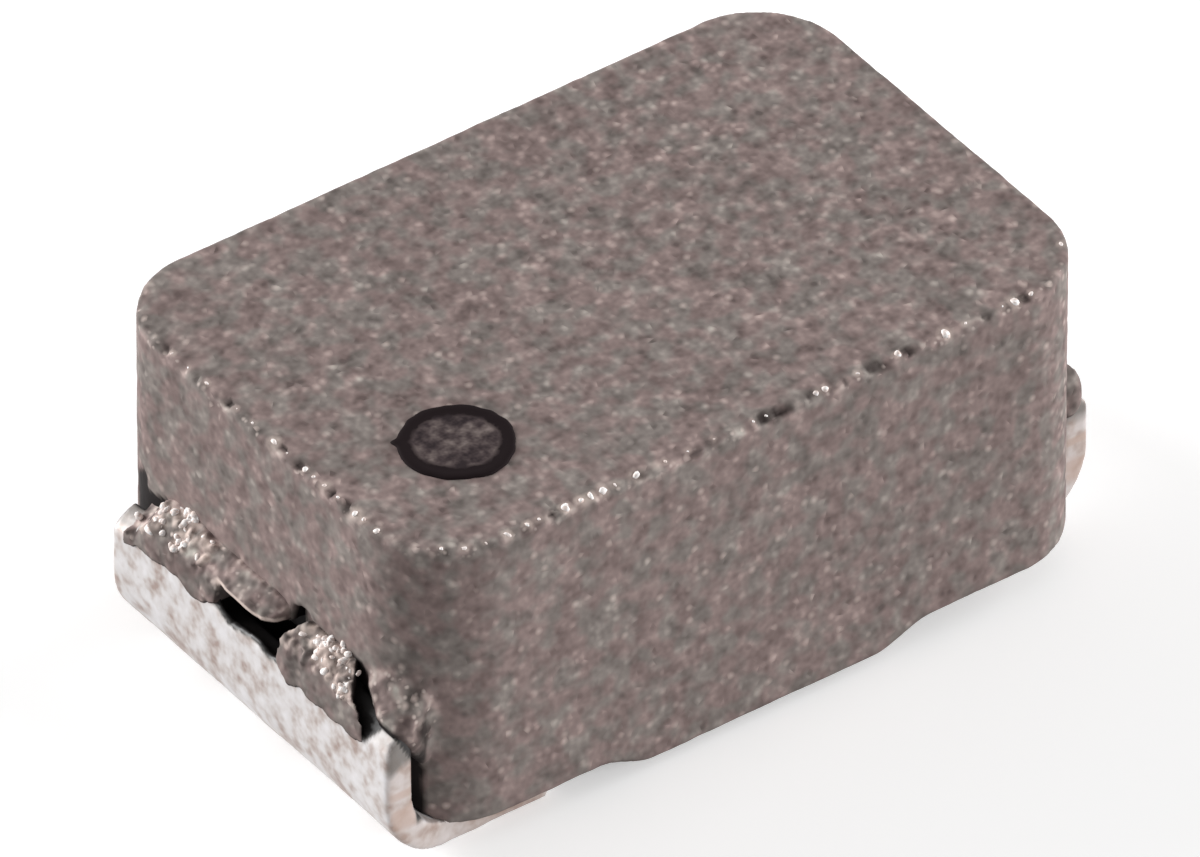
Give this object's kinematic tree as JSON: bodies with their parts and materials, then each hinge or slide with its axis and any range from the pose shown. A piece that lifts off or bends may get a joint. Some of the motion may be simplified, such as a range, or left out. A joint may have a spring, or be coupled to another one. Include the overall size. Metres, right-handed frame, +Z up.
{
  "type": "moulded power inductor",
  "caption": "Small rounded block of pressed metal powder with a buried flat-wire coil, folded tinned end terminals and an ink dot on top.",
  "frame": {"origin": "centre of the bounding box at its bottom, on the level of the solder feet's undersides", "axes": "+Z up away from the board; X along the long side from the left terminal to the right one; Y across the width. The corner with the ink dot is at -X, -Y"},
  "size_m": [0.002, 0.0012, 0.0008],
  "materials": {
    "powder_composite": "pressed metal powder, matte and granular, with bright specks along the broken edges",
    "enamelled_copper": "flat copper wire under clear enamel",
    "tinned_copper": "matte tin plating with faint copper-grey mottling",
    "marking_ink": "thin dark ink, darker in a ring at its edge"
  },
  "bodies": {
    "root": {"moulded_body": "powder_composite", "winding": "enamelled_copper", "left_terminal": "tinned_copper", "right_terminal": "tinned_copper", "polarity_dot": "marking_ink"}
  },
  "joints": []
}
